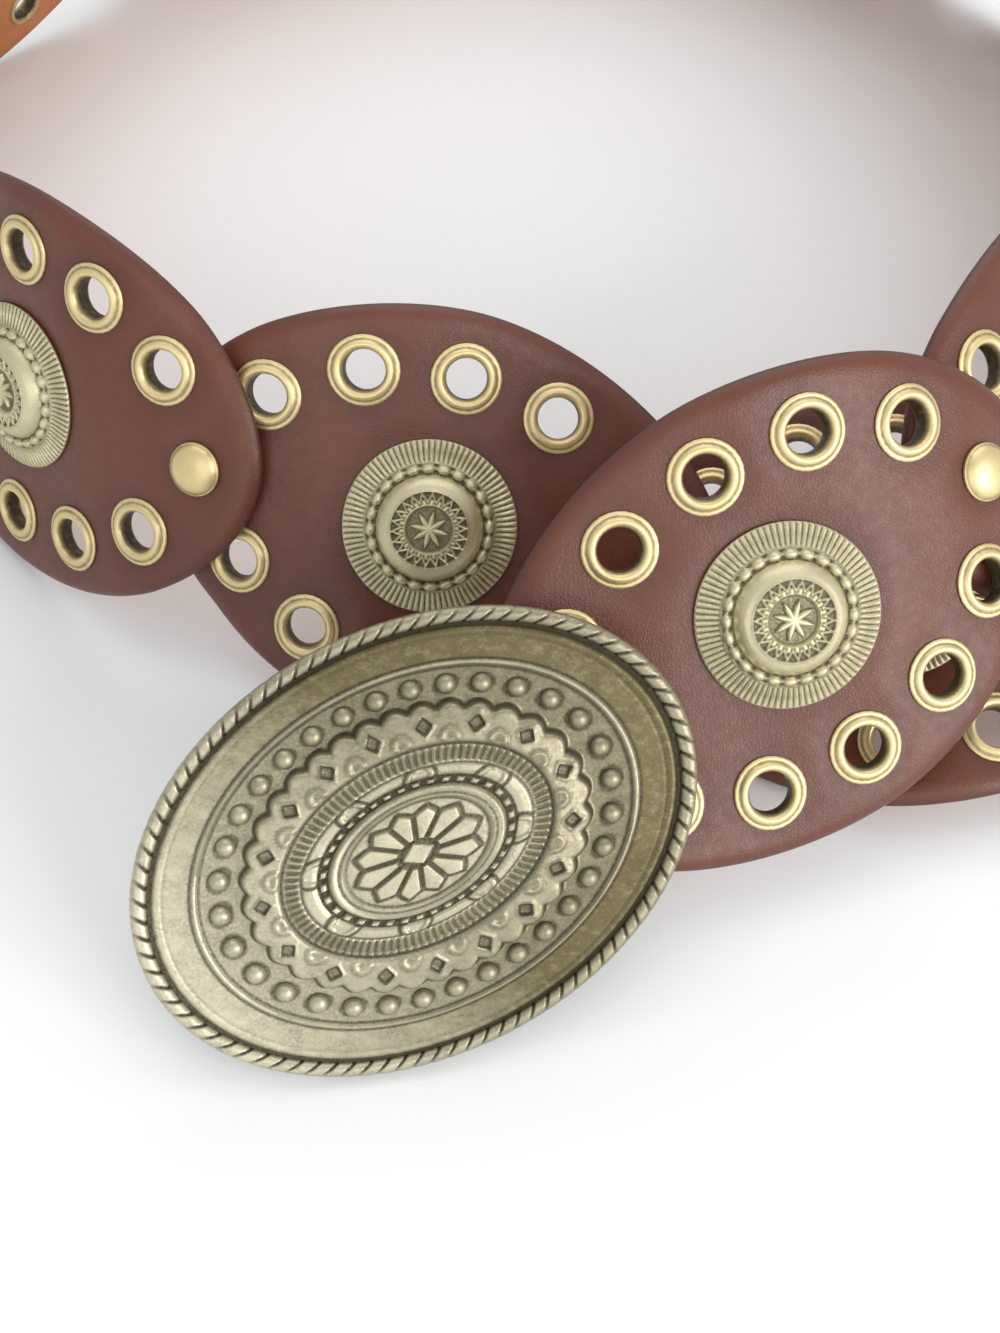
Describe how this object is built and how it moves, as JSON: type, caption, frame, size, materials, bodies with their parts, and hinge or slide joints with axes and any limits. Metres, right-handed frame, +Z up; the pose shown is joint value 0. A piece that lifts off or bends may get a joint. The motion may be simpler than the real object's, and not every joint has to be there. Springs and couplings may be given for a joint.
{
  "type": "wide waist belt",
  "caption": "Wide waist belt of oval leather discs riveted tip over tip, each with brass eyelets and a round ribbed ornament, closed by a cast oval relief buckle.",
  "frame": {"origin": "middle of the closed belt's bounding box, on the table it stands on", "axes": "+Z up out of the table, along the axis of the waist; -Y towards the buckle at the front; +X to the right seen from the front"},
  "size_m": [0.317, 0.3928, 0.0796],
  "materials": {
    "leather": "smooth reddish-brown leather with a satin finish, dark cut edges and a tan back",
    "antique_brass": "cast antique brass, polished on its high parts and dark in its recesses",
    "brass": "bright pressed brass"
  },
  "bodies": {
    "root": {"disc_01": "leather", "disc_02": "leather", "disc_03": "leather", "disc_04": "leather", "disc_05": "leather", "disc_06": "leather", "disc_07": "leather", "disc_08": "leather", "disc_09": "leather", "disc_10": "leather", "disc_11": "leather", "disc_12": "leather", "concho_01": "antique_brass", "concho_02": "antique_brass", "concho_03": "antique_brass", "concho_04": "antique_brass", "concho_05": "antique_brass", "concho_06": "antique_brass", "concho_07": "antique_brass", "concho_08": "antique_brass", "concho_09": "antique_brass", "concho_10": "antique_brass", "concho_11": "antique_brass", "concho_12": "antique_brass", "rivet_01": "brass", "rivet_02": "brass", "rivet_03": "brass", "rivet_04": "brass", "rivet_05": "brass", "rivet_06": "brass", "rivet_07": "brass", "rivet_08": "brass", "rivet_09": "brass", "rivet_10": "brass", "rivet_11": "brass", "buckle": "antique_brass"}
  },
  "joints": []
}
